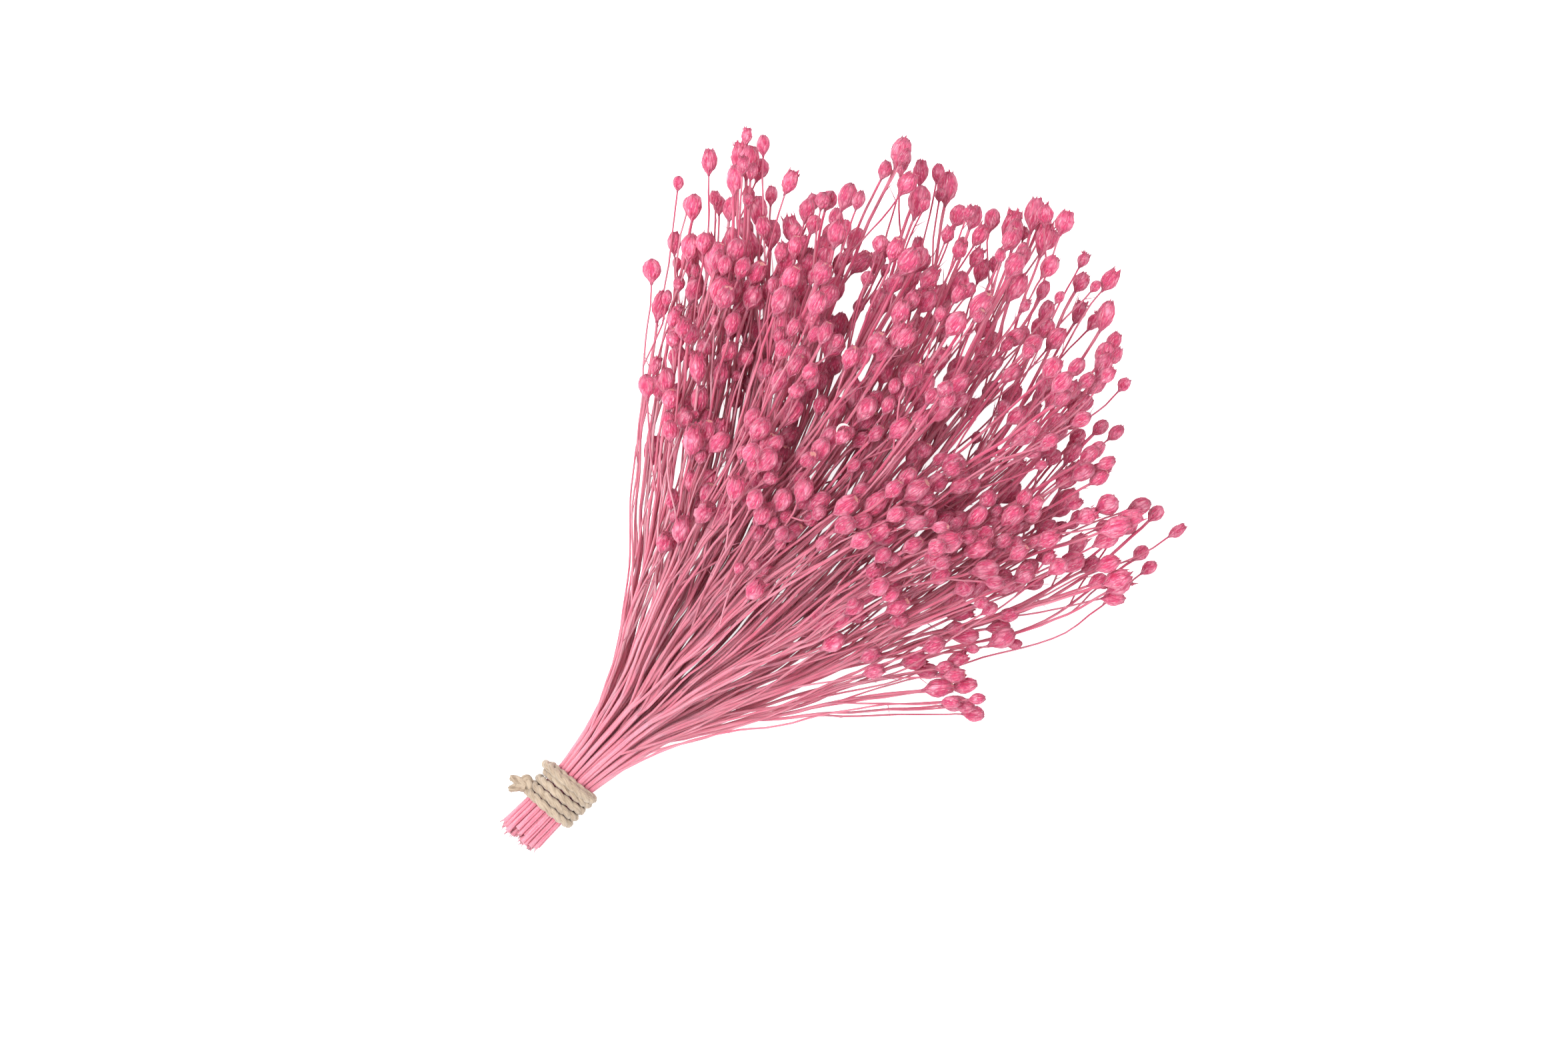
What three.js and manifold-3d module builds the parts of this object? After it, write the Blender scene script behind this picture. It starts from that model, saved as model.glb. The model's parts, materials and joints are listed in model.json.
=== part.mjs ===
// A bunch of dried broom bloom, lying on its side: wiry sprigs that fork into stalks, each stalk
// with one scaly, egg-shaped head, and a length of twine wound round the stems near their cut ends.
// Millimetres. +X runs from the cut ends to the heads, +Z is up, and the bunch rests on Z = 0.
import * as THREE from "three";
import { mergeVertices } from "three/addons/utils/BufferGeometryUtils.js";
import Module from "manifold-3d";

// The bunch
const SPRIGS = 56;
const STUB = 7.5; // cut ends, from the twine to where they are cut
const UNEVEN = 1.4; // how far the cuts differ
const REACH = 176; // from the middle of the twine to the furthest heads
const FAN = 34; // degrees, from the axis to the outer sprigs on each side
const RISE = 31; // degrees, from the surface to the top sprigs
const NECK = 24; // how gently the stems open after the twine
const TWIST = 30; // degrees that the bunch turns about its axis along its length
const FLARE = 1.06; // the bundle outside the twine, to the bundle that the twine squeezes
const BEND = 0.0012; // how the line of the whole bunch curves to +Y, per millimetre
const EDGE_SHORTER = 0.13; // sprigs at the sides, as a share of the reach
const SLANT = 0.035; // how much less the +Y side reaches than the middle, and the -Y side more
const TOP_SHORTER = 0.42; // sprigs on top, the same
const NOTCH = { at: 0.57, wide: 0.13, deep: 0.17 }; // the dip between two tufts
const STRAY_OUT = 9; // how far one sprig at the -Y side strays from the others

// One sprig
const STEM_D = 1; // at the cut
const TIP_D = 0.7; // where the top head sits
const STALK_D = 0.6; // a side stalk
const STEM_GAP = 0.16; // between stems in the twine
const SIDE_STALKS = { least: 3, most: 4 };
const STEP = 28; // between the joints of a stem
const SWAY = 3; // how far a stem wanders from its line
const LOOK_UP = 0.6; // how much more the stalks on top spread upwards
const SPREAD = { least: 3, most: 11 }; // how far a side stalk moves out from its stem

// A head
const HEAD_D = 4.5;
const HEAD_L = 6;
const HEAD_VARY = { least: 0.75, most: 1.13 };
const HEAD_OUTLINE = [
  [0.3, 0.94],
  [0.72, 0.9],
  [1, 0.3],
]; // along the head, and how wide there, as shares of its length and width
const REST_GAP = 0.45; // left between one sprig and the next
const SIDES = 5;

// The twine
const TWINE_D = 1.9;
const TWINE_GAP = 0.15; // between turns, and from the stems
const TURNS = 4.5;
const KNOT_TURN_D = 4.2; // outside of the small turn that makes the knot
const TAIL = 5.5;

const SETTLE_ROUNDS = 90;
const GOLDEN = Math.PI * (3 - Math.sqrt(5));
const degrees = THREE.MathUtils.degToRad;
const lerp = THREE.MathUtils.lerp;

const wasm = await Module();
wasm.setup();

// A repeatable number from 0 to 1 for each sprig and purpose.
function chance(sprig, purpose) {
  const spin = Math.sin(sprig * 12.9898 + purpose * 78.233) * 43758.5453;
  return spin - Math.floor(spin);
}

// Where the stems stand in the twine, in a circle of radius 1: a sunflower spiral, pressed even.
function seats() {
  const spots = Array.from({ length: SPRIGS }, (_, i) => {
    const r = Math.sqrt((i + 0.5) / (SPRIGS - 0.5));
    return new THREE.Vector2(r * Math.cos(i * GOLDEN), r * Math.sin(i * GOLDEN));
  });
  const want = 1.94 / Math.sqrt(SPRIGS);
  for (let round = 0; round < 60; round++) {
    const moves = spots.map((p) => {
      const move = new THREE.Vector2();
      for (const q of spots) {
        const apart = p.distanceTo(q);
        if (q !== p && apart < want)
          move.addScaledVector(p.clone().sub(q), (0.3 * (want - apart)) / apart);
      }
      return move;
    });
    spots.forEach((p, i) => p.add(moves[i]).clampLength(0, 1));
  }
  return spots;
}

const spots = seats();
const closest = Math.min(
  ...spots.map((p) => Math.min(...spots.filter((q) => q !== p).map((q) => p.distanceTo(q)))),
);
const bundleR = (STEM_D + STEM_GAP) / closest; // to the centres of the outer stems
const wrapR = bundleR + (STEM_D + TWINE_D) / 2 + TWINE_GAP; // to the middle of the twine
const tieZ = wrapR + TWINE_D / 2;
const pitch = TWINE_D + TWINE_GAP;
const tieHalf = (TURNS * pitch + TWINE_D) / 2;

// How far the bundle has opened at a distance x past the middle of the twine.
const opened = (x) => (x > tieHalf ? Math.hypot(x - tieHalf, NECK) - NECK : 0);

// A spot, turned with the bunch.
function turned(spot, s) {
  return spot.clone().rotateAround(new THREE.Vector2(), degrees(TWIST) * (opened(s) / REACH - 0.5));
}

// The point of the stem that stands at a spot, a distance s past the middle of the twine.
// The round bundle opens into a low dome: wide, flat below and arched above.
function place(spot, s) {
  const { x: a, y: b } = turned(spot, s);
  const arch = Math.sqrt(Math.max(0, 1 - a * a));
  const slope = Math.hypot(a * Math.tan(degrees(FAN)), ((b + arch) / 2) * Math.tan(degrees(RISE)));
  const x = s > 0 ? s / Math.hypot(1, slope * (s / (s + NECK))) : s;
  const open = opened(x);
  const waist = 1 + (FLARE - 1) * THREE.MathUtils.smoothstep(Math.abs(x), tieHalf, tieHalf * 1.8);
  const radius = bundleR * waist;
  const lying = open / (open + 25);
  const height = 2 * radius + Math.tan(degrees(RISE)) * open;
  const low = lerp(tieZ - radius, HEAD_D * 0.55, lying);
  return new THREE.Vector3(
    x,
    a * (radius + Math.tan(degrees(FAN)) * open) + BEND * open * open,
    low + (height * (b + (1 - lying) + lying * arch)) / 2,
  );
}

// A stem or stalk is a chain of points. The last stretch of a chain is its head.
// Each stretch knows the part of it that is thick, and how thick.
function chain(sprig, points, radii, headSize, parent, root) {
  return { sprig, points, radii, headSize, parent, root };
}

// The outermost sprig on the -Y side.
const ends = spots.map((spot) => turned(spot, REACH).x);
const stray = ends.indexOf(Math.min(...ends));

// One sprig: a stem from its cut end to the top head, and side stalks that fork from its joints.
function grow(i) {
  const { x: a, y: b } = turned(spots[i], REACH);
  const dip = NOTCH.deep * Math.exp(-(((a - NOTCH.at) / NOTCH.wide) ** 2));
  const top = TOP_SHORTER * Math.max(0, b) ** 1.5;
  const edge = EDGE_SHORTER * a * a + SLANT * a;
  const full = REACH * (1 - edge - dip - top) * lerp(0.76, 1, chance(i, 1) ** 0.5);
  const length = i === stray ? full * 0.66 : full;
  const cut = -tieHalf - STUB - UNEVEN * (chance(i, 2) - 0.5) * 2;
  const headSize = lerp(HEAD_VARY.least, HEAD_VARY.most, chance(i, 3));
  const joints = Math.round((length - NECK) / STEP);
  const along = [cut, -tieHalf, tieHalf];
  for (let j = 0; j <= joints; j++) along.push(lerp(NECK * 1.1, length - HEAD_L * headSize, j / joints));
  along.push(length);
  const turn = 2 * Math.PI * chance(i, 4);
  const at = (s) => {
    const p = place(spots[i], s);
    const sway = SWAY * THREE.MathUtils.smoothstep(s, NECK, NECK * 4);
    p.y += sway * Math.sin(s / 19 + turn);
    p.z += sway * 0.6 * Math.sin(s / 23 + turn * 2);
    if (i === stray) p.y -= STRAY_OUT * THREE.MathUtils.smoothstep(s, NECK, REACH / 2);
    return p;
  };
  const radius = (s) => lerp(STEM_D, TIP_D, THREE.MathUtils.clamp(s / length, 0, 1)) / 2;
  const stem = chain(i, along.map(at), along.map(radius), headSize, null, 0);
  stem.along = along;
  const chains = [stem];
  const stalks = i % 2 ? SIDE_STALKS.least : SIDE_STALKS.most;
  for (let k = 0; k < stalks; k++) {
    const first = 3 + Math.floor((joints - 0.6) * lerp(0.1, 0.9, (k + chance(i, 10 + k)) / stalks));
    const start = along[first];
    const size = lerp(HEAD_VARY.least, HEAD_VARY.most, chance(i, 20 + k));
    const end = lerp(start + STEP * 1.2, length, lerp(0.3, 0.98, chance(i, 30 + k)));
    const way = turn + k * GOLDEN + chance(i, 40 + k);
    const out = lerp(SPREAD.least, SPREAD.most, chance(i, 50 + k));
    const parts = Math.max(2, Math.round((end - start) / STEP));
    const reach = [];
    for (let j = 0; j <= parts; j++) reach.push(lerp(start, end - HEAD_L * size, j / parts));
    reach.push(end);
    const points = reach.map((s) => {
      const away = out * (1 - Math.exp(-(s - start) / (STEP * 1.3)));
      const p = at(s);
      p.y += away * Math.cos(way);
      p.z += away * (0.8 * Math.sin(way) + LOOK_UP * Math.max(0, b));
      return p;
    });
    chains.push(chain(i, points, reach.map(() => STALK_D / 2), size, stem, first));
  }
  return chains;
}

// Stretches of all chains, as capsules, for the settling below.
function capsules(chains) {
  const list = [];
  for (const c of chains) {
    for (let j = 0; j + 1 < c.points.length; j++) {
      const head = j + 2 === c.points.length;
      list.push({
        c,
        j,
        head,
        radius: head ? (HEAD_D / 2) * c.headSize : c.radii[j],
        from: head ? 0.42 : 0,
        to: head ? 0.6 : 1,
      });
    }
  }
  return list;
}

// The nearest points of two stretches: how far along each, and the vector from the second to the first.
function nearest(one, two) {
  const p = one.c.points[one.j];
  const q = two.c.points[two.j];
  const u = one.c.points[one.j + 1].clone().sub(p);
  const v = two.c.points[two.j + 1].clone().sub(q);
  const w = p.clone().sub(q);
  const [uu, uv, vv, uw, vw] = [u.dot(u), u.dot(v), v.dot(v), u.dot(w), v.dot(w)];
  const keep = (t, o) => Math.min(o.to, Math.max(o.from, t));
  const skew = uu * vv - uv * uv;
  let s = keep(skew > 1e-9 ? (uv * vw - vv * uw) / skew : 0.5, one);
  const t = keep((uv * s + vw) / vv, two);
  s = keep((uv * t - uw) / uu, one);
  return { s, t, apart: w.addScaledVector(u, s).addScaledVector(v, -t) };
}

// The sprigs push each other aside until none touches another, and rest on the surface. A stem
// gives smoothly along its length, and it is held where the twine holds it.
function settle(chains) {
  const list = capsules(chains);
  const start = new Map(chains.map((c) => [c, c.points.map((p) => p.clone())]));
  let pairs = [];
  for (let round = 0; round < SETTLE_ROUNDS; round++) {
    if (round % 10 === 0) {
      pairs = [];
      const middles = list.map((o) => o.c.points[o.j].clone().add(o.c.points[o.j + 1]).multiplyScalar(0.5));
      const halves = list.map((o) => o.c.points[o.j].distanceTo(o.c.points[o.j + 1]) / 2);
      for (let m = 0; m < list.length; m++)
        for (let n = m + 1; n < list.length; n++) {
          const [one, two] = [list[m], list[n]];
          const kin = one.c.sprig === two.c.sprig;
          if (one.c === two.c || (kin && !(one.head && two.head))) continue;
          const near = halves[m] + halves[n] + one.radius + two.radius + 3;
          if (middles[m].distanceToSquared(middles[n]) < near * near) pairs.push([one, two]);
        }
    }
    const moves = new Map(chains.map((c) => [c, c.points.map(() => new THREE.Vector4())]));
    for (const [one, two] of pairs) {
      const { s, t, apart } = nearest(one, two);
      const far = apart.length();
      const short = one.radius + two.radius + REST_GAP - far;
      if (short <= 0 || far < 1e-9) continue;
      apart.multiplyScalar(short / 2 / far);
      for (const [o, share, sign] of [
        [one, s, 1],
        [two, t, -1],
      ])
        for (const [k, w] of [
          [o.j, 1 - share],
          [o.j + 1, share],
        ]) {
          const m = moves.get(o.c)[k];
          m.x += sign * apart.x * w;
          m.y += sign * apart.y * w;
          m.z += sign * apart.z * w;
          m.w += w * w;
        }
    }
    for (const c of chains) {
      const first = start.get(c);
      const shifts = c.points.map((p, k) => {
        const m = moves.get(c)[k];
        const give = m.w > 0 ? 1 / Math.max(m.w, 0.35) : 0;
        return p.clone().sub(first[k]).add(new THREE.Vector3(m.x, m.y, m.z).multiplyScalar(give));
      });
      const held = c.parent ? 1 : 4; // points that the twine or the fork holds
      const smooth = shifts.map((d, k) => {
        if (k < held || k + 1 === shifts.length || round > SETTLE_ROUNDS / 2) return d;
        return d.clone().lerp(shifts[k - 1].clone().add(shifts[k + 1]).multiplyScalar(0.5), 0.15);
      });
      c.points.forEach((p, k) => {
        if (k >= held) p.copy(first[k]).add(smooth[k]);
        else if (c.parent) p.copy(c.parent.points[c.root]);
        const last = k + 2 >= c.points.length;
        p.z = Math.max(p.z, last ? (HEAD_D / 2) * c.headSize : c.radii[k]);
      });
    }
  }
}

// A closed solid from a geometry, for joining.
function solid(geometry) {
  const bare = geometry.index ? geometry.toNonIndexed() : geometry.clone();
  bare.deleteAttribute("normal");
  bare.deleteAttribute("uv");
  const merged = mergeVertices(bare, 1e-5);
  return new wasm.Manifold(
    new wasm.Mesh({
      numProp: 3,
      vertProperties: merged.attributes.position.array,
      triVerts: new Uint32Array(merged.index.array),
    }),
  );
}

function geometryOf(made) {
  const mesh = made.getMesh();
  const geometry = new THREE.BufferGeometry();
  geometry.setAttribute("position", new THREE.BufferAttribute(mesh.vertProperties, 3));
  geometry.setIndex(new THREE.BufferAttribute(mesh.triVerts, 1));
  return geometry;
}

// A tapering tube through points, with a flat cap at each end.
function tube(points, radii, sides) {
  const rings = [];
  let across = new THREE.Vector3(0, 0, 1);
  points.forEach((p, k) => {
    const before = points[Math.max(k - 1, 0)];
    const after = points[Math.min(k + 1, points.length - 1)];
    const ahead = after.clone().sub(before).normalize();
    across = across.clone().addScaledVector(ahead, -across.dot(ahead)).normalize();
    const side = ahead.clone().cross(across);
    const ring = [];
    for (let n = 0; n < sides; n++) {
      const turn = (2 * Math.PI * n) / sides;
      ring.push(
        p.clone()
          .addScaledVector(across, radii[k] * Math.cos(turn))
          .addScaledVector(side, radii[k] * Math.sin(turn)),
      );
    }
    rings.push(ring);
  });
  const positions = rings.flat().flatMap((v) => v.toArray());
  const faces = [];
  for (let k = 0; k + 1 < rings.length; k++)
    for (let n = 0; n < sides; n++) {
      const [a, b] = [k * sides + n, k * sides + ((n + 1) % sides)];
      faces.push(a, b, b + sides, a, b + sides, a + sides);
    }
  const end = (rings.length - 1) * sides;
  for (let n = 1; n + 1 < sides; n++) faces.push(0, n + 1, n, end, end + n, end + n + 1);
  const geometry = new THREE.BufferGeometry();
  geometry.setAttribute("position", new THREE.BufferAttribute(new Float32Array(positions), 3));
  geometry.setIndex(faces);
  return geometry;
}

const stemMaterial = new THREE.MeshStandardMaterial({ color: 0xd9788f, roughness: 0.85, metalness: 0 });
const twineMaterial = new THREE.MeshStandardMaterial({ color: 0xc9b59a, roughness: 0.9, metalness: 0 });

function sprigMesh(i, chains) {
  let made = null;
  for (const c of chains) {
    const tip = c.points.at(-1);
    const base = c.points.at(-2);
    const swell = HEAD_OUTLINE.map(([along]) => base.clone().lerp(tip, along));
    const widths = HEAD_OUTLINE.map(([, wide]) => (wide * HEAD_D * c.headSize) / 2);
    const whole = solid(tube([...c.points.slice(0, -1), ...swell], [...c.radii.slice(0, -1), ...widths], SIDES));
    made = made ? made.add(whole) : whole;
  }
  const mesh = new THREE.Mesh(geometryOf(made), stemMaterial);
  mesh.name = "sprig_" + String(i + 1).padStart(2, "0");
  return mesh;
}

// The twine: one length, wound side by side up the stems, with a small turn knotted at its start.
function twineMesh() {
  const round = (turn, r, x) => new THREE.Vector3(x, r * Math.cos(turn), tieZ + r * Math.sin(turn));
  const wrap = [];
  const perTurn = 16;
  for (let k = 0; k <= TURNS * perTurn; k++) {
    const turn = (2 * Math.PI * k) / perTurn;
    wrap.push(round(turn, wrapR / Math.cos(Math.PI / perTurn), -tieHalf + TWINE_D / 2 + (pitch * k) / perTurn));
  }
  const centre = round(0.25, wrapR + TWINE_D * 0.55, -tieHalf + TWINE_D);
  const knotR = (KNOT_TURN_D - TWINE_D) / 2;
  const knot = [];
  for (let k = 0; k <= 10; k++) {
    const turn = (2 * Math.PI * k) / 11;
    knot.push(
      centre.clone().add(new THREE.Vector3(knotR * Math.cos(turn), knotR * 0.5 * Math.sin(turn), knotR * Math.sin(turn))),
    );
  }
  const tail = [centre.clone(), centre.clone().add(new THREE.Vector3(0.5, TAIL * 0.5, 0.6)), centre.clone().add(new THREE.Vector3(1.6, TAIL * 0.8, 0.4))];
  const even = (points, d) => points.map(() => d / 2);
  const made = [wrap, knot, tail]
    .map((points) => solid(tube(points, even(points, TWINE_D), 6)))
    .reduce((one, two) => one.add(two));
  const mesh = new THREE.Mesh(geometryOf(made), twineMaterial);
  mesh.name = "twine";
  return mesh;
}

const sprigs = spots.map((_, i) => grow(i));
settle(sprigs.flat());

const group = new THREE.Group();
group.name = "broom_bunch";
sprigs.forEach((chains, i) => group.add(sprigMesh(i, chains)));
group.add(twineMesh());

// The origin is below the middle of the bunch, on the surface.
const box = new THREE.Box3().setFromObject(group);
const middle = box.getCenter(new THREE.Vector3());
group.position.set(-middle.x, -middle.y, -box.min.z);

export default group;
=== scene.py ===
# A bunch of dried broom bloom, dyed pink, lying on its side and tied near the cut ends with jute twine.
import json
import math

import bpy
import numpy as np
from mathutils import Matrix, Vector, noise

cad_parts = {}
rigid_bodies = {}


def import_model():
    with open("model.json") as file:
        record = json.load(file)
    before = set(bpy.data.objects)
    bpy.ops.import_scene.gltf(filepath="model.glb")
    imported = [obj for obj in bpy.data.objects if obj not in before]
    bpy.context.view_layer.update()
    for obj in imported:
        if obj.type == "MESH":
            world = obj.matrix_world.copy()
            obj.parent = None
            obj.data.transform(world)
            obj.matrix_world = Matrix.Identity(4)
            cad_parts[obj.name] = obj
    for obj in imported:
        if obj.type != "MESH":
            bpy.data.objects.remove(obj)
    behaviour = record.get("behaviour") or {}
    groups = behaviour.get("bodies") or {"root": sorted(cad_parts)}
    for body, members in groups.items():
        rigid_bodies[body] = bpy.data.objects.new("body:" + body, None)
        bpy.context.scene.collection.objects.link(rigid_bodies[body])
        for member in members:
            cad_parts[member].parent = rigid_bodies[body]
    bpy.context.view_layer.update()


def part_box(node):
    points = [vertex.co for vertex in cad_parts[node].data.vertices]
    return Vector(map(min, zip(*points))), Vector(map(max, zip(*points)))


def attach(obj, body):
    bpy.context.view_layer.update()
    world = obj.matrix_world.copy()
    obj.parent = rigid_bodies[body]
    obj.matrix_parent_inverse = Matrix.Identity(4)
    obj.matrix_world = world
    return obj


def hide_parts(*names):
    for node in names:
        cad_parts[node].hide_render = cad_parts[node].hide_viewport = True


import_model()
MM = 0.001


# ---------------------------------------------------------------------------------------------
# The view: the bunch lies on a table and is looked at from straight above, turned so that the
# heads point up and to the right.
# ---------------------------------------------------------------------------------------------
LEAN = math.radians(45.5)  # from level to the line of the bunch, in the view
HEIGHT = 0.95  # of the camera over the table, in metres
SEEN_WIDTH = 0.3635  # of the table, from one side of the view to the other
LEFT, BELOW = 0.0515, 0.0625  # from the middle of the view to the middle of the wound twine

camera_data = bpy.data.cameras.new("camera")
camera_data.sensor_width = 36
camera_data.lens = 36 * HEIGHT / SEEN_WIDTH
camera = bpy.data.objects.new("camera", camera_data)
twine_low, twine_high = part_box("twine")
# The knot stands out at the +Y side, so the wound part's middle is found from the -Y side.
wound = Vector(((twine_low.x + twine_high.x) / 2, twine_low.y + (twine_high.z - twine_low.z) / 2))
to_the_right, upwards = Vector((math.cos(LEAN), -math.sin(LEAN))), Vector((math.sin(LEAN), math.cos(LEAN)))
middle = wound + to_the_right * LEFT + upwards * BELOW
camera.location = (middle.x, middle.y, HEIGHT)
camera.rotation_euler = (0, 0, -LEAN)
bpy.context.scene.collection.objects.link(camera)
bpy.context.scene.camera = camera


def linear(hex_colour):
    """An sRGB hex colour as linear RGBA."""
    parts = [int(hex_colour[i : i + 2], 16) / 255 for i in (1, 3, 5)]
    return (*[c / 12.92 if c <= 0.04045 else ((c + 0.055) / 1.055) ** 2.4 for c in parts], 1)


def add_node(tree, kind, links=None, **settings):
    """Adds a node with its settings, and links or values for its inputs, keyed by name or number."""
    node = tree.nodes.new(kind)
    for name, value in settings.items():
        setattr(node, name, value)
    for key, value in (links or {}).items():
        socket = node.inputs[key]
        if isinstance(value, bpy.types.NodeSocket):
            tree.links.new(value, socket)
        else:
            socket.default_value = value
    return node


def new_material(name):
    """An empty material: its tree and its Principled shader."""
    material = bpy.data.materials.new(name)
    material.use_nodes = True
    return material, material.node_tree, material.node_tree.nodes["Principled BSDF"]


# White paint, matt and smooth. To the camera it glows, so that the shadows on it stay pale.
TABLE_GLOW = 0.78

table_paint, tree, shader = new_material("white_table_paint")
shader.inputs["Base Color"].default_value = linear("#FDFCFC")
shader.inputs["Roughness"].default_value = 0.8
glow = add_node(tree, "ShaderNodeEmission", {"Color": (1, 1, 1, 1), "Strength": TABLE_GLOW})
plain = add_node(tree, "ShaderNodeEmission", {"Color": (0, 0, 0, 1)})
seen = add_node(tree, "ShaderNodeLightPath").outputs["Is Camera Ray"]
lit = add_node(tree, "ShaderNodeMixShader", {0: seen, 1: plain.outputs[0], 2: glow.outputs[0]})
both = add_node(tree, "ShaderNodeAddShader", {0: shader.outputs[0], 1: lit.outputs[0]})
tree.links.new(both.outputs[0], tree.nodes["Material Output"].inputs["Surface"])
bpy.ops.mesh.primitive_plane_add(size=6, location=(0, 0, 0))
floor = bpy.context.object
floor.name = "floor"
floor.data.materials.append(table_paint)

world = bpy.data.worlds.new("studio")
world.use_nodes = True
world.node_tree.nodes["Background"].inputs["Color"].default_value = (1, 1, 1, 1)
world.node_tree.nodes["Background"].inputs["Strength"].default_value = 1.06
bpy.context.scene.world = world
bpy.context.scene.view_settings.view_transform = "Standard"

SOFTBOXES = (  # where each stands and how wide it is, in metres, and its power in watts
    ("key", (-0.3, 0.42, 1.5), 0.7, 21),
    ("fill", (0.9, -0.9, 1.3), 1.4, 5),
)
for name, place_at, wide, watts in SOFTBOXES:
    lamp = bpy.data.lights.new(name, "AREA")
    lamp.shape = "DISK"
    lamp.size = wide
    lamp.energy = watts
    softbox = bpy.data.objects.new(name, lamp)
    softbox.location = place_at
    softbox.rotation_euler = (-Vector(place_at)).to_track_quat("-Z", "Y").to_euler()
    bpy.context.scene.collection.objects.link(softbox)


# ---------------------------------------------------------------------------------------------
# How the sprigs lie, in millimetres. Each is a wiry stem that forks into stalks with one head each.
# The stems are parallel where the twine presses them, fan out past it, and lean on one another.
# ---------------------------------------------------------------------------------------------
SPRIGS = 56
STUB, UNEVEN = 7.5, 1.4  # cut ends past the twine, and how far their cuts differ
REACH = 176  # from the middle of the twine to the furthest heads
FAN = math.radians(34)  # from the axis to the outer sprigs on each side
RISE = math.radians(31)  # from the table to the top sprigs
NECK = 24  # how gently the stems open after the twine
TWIST = math.radians(30)  # of the bunch about its axis, along its length
FLARE = 1.06  # the bundle outside the twine, to the bundle that the twine squeezes
BEND = 0.0012  # how the line of the whole bunch curves to +Y, per millimetre
EDGE_SHORTER, TOP_SHORTER = 0.13, 0.42  # sprigs at the sides and on top, as shares of the reach
SLANT = 0.035  # how much less the +Y side reaches than the middle, and the -Y side more
NOTCH_AT, NOTCH_WIDE, NOTCH_DEEP = 0.57, 0.13, 0.17  # the dip between two tufts
STRAY_OUT, STRAY_LONG = 9, 0.66  # how far one sprig at the -Y side strays, and its share of the length
STEM_D, TIP_D, STALK_D = 1, 0.7, 0.6  # at the cut, where the top head sits, and of a side stalk
STEM_GAP = 0.16  # between stems in the twine
STALKS_LEAST, STALKS_MOST = 3, 4
STEP = 28  # between the joints of a stem
SWAY = 3  # how far a stem wanders from its line
LOOK_UP = 0.6  # how much more the stalks on top spread upwards
SPREAD_LEAST, SPREAD_MOST = 3, 11  # how far a side stalk moves out from its stem
HEAD_D, HEAD_L = 4.5, 6
VARY_LEAST, VARY_MOST = 0.75, 1.13  # of the heads on stems and side stalks
REST_GAP = 0.45  # left between one sprig and the next
TWINE_D, TWINE_GAP, TURNS = 1.9, 0.15, 4.5
HELD_POINTS = 4  # of a stem: its cut end, where it enters and leaves the twine, and its neck
SETTLE_ROUNDS = 90
GOLDEN = math.pi * (3 - math.sqrt(5))


def chance(sprig, purpose):
    """A repeatable number from 0 to 1 for each sprig and purpose."""
    spin = math.sin(sprig * 12.9898 + purpose * 78.233) * 43758.5453
    return spin - math.floor(spin)


def lerp(a, b, t):
    return a + (b - a) * t


def smoothstep(x, low, high):
    t = min(1, max(0, (x - low) / (high - low)))
    return t * t * (3 - 2 * t)


def seats():
    """Where the stems stand in the twine, in a circle of radius 1: a sunflower spiral, pressed even."""
    i = np.arange(SPRIGS)
    r = np.sqrt((i + 0.5) / (SPRIGS - 0.5))
    spots = np.stack([r * np.cos(i * GOLDEN), r * np.sin(i * GOLDEN)], 1)
    want = 1.94 / math.sqrt(SPRIGS)
    for _ in range(60):
        gaps = spots[:, None] - spots[None]
        apart = np.linalg.norm(gaps, axis=2)
        push = np.where((apart > 0) & (apart < want), 0.3 * (want - apart) / np.maximum(apart, 1e-9), 0)
        spots = spots + (gaps * push[..., None]).sum(1)
        spots = spots / np.maximum(1, np.linalg.norm(spots, axis=1))[:, None]
    return spots


spots = seats()
spacing = np.linalg.norm(spots[:, None] - spots[None], axis=2) + np.eye(SPRIGS) * 9
bundle_r = (STEM_D + STEM_GAP) / spacing.min()  # to the centres of the outer stems
wrap_r = bundle_r + (STEM_D + TWINE_D) / 2 + TWINE_GAP  # to the middle of the twine
tie_z = wrap_r + TWINE_D / 2
pitch = TWINE_D + TWINE_GAP
tie_half = (TURNS * pitch + TWINE_D) / 2


def opened(x):
    """How far the bundle has opened at a distance x past the middle of the twine."""
    return math.hypot(x - tie_half, NECK) - NECK if x > tie_half else 0


def turned(spot, s):
    """Where a spot in the twine has turned to, a distance s along the bunch."""
    angle = TWIST * (opened(s) / REACH - 0.5)
    c, w = math.cos(angle), math.sin(angle)
    return spot[0] * c - spot[1] * w, spot[0] * w + spot[1] * c


def place(spot, s):
    """The point of the stem that stands at a spot, a distance s past the middle of the twine."""
    a, b = turned(spot, s)
    arch = math.sqrt(max(0, 1 - a * a))
    slope = math.hypot(a * math.tan(FAN), ((b + arch) / 2) * math.tan(RISE))
    x = s / math.hypot(1, slope * (s / (s + NECK))) if s > 0 else s
    opening = opened(x)
    radius = bundle_r * (1 + (FLARE - 1) * smoothstep(abs(x), tie_half, tie_half * 1.8))
    lying = opening / (opening + 25)
    height = 2 * radius + math.tan(RISE) * opening
    low = lerp(tie_z - radius, HEAD_D * 0.55, lying)
    y = a * (radius + math.tan(FAN) * opening) + BEND * opening * opening
    return np.array([x, y, low + height * (b + (1 - lying) + lying * arch) / 2])


def stalk(sprig, points, radii, size, parent=None, root=0):
    """A chain of points with its thickness. Its last stretch is its head."""
    return {"sprig": sprig, "points": np.array(points), "radii": np.array(radii, float), "size": size,
            "parent": parent, "root": root}


stray = int(np.argmin([turned(spot, REACH)[0] for spot in spots]))


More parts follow.
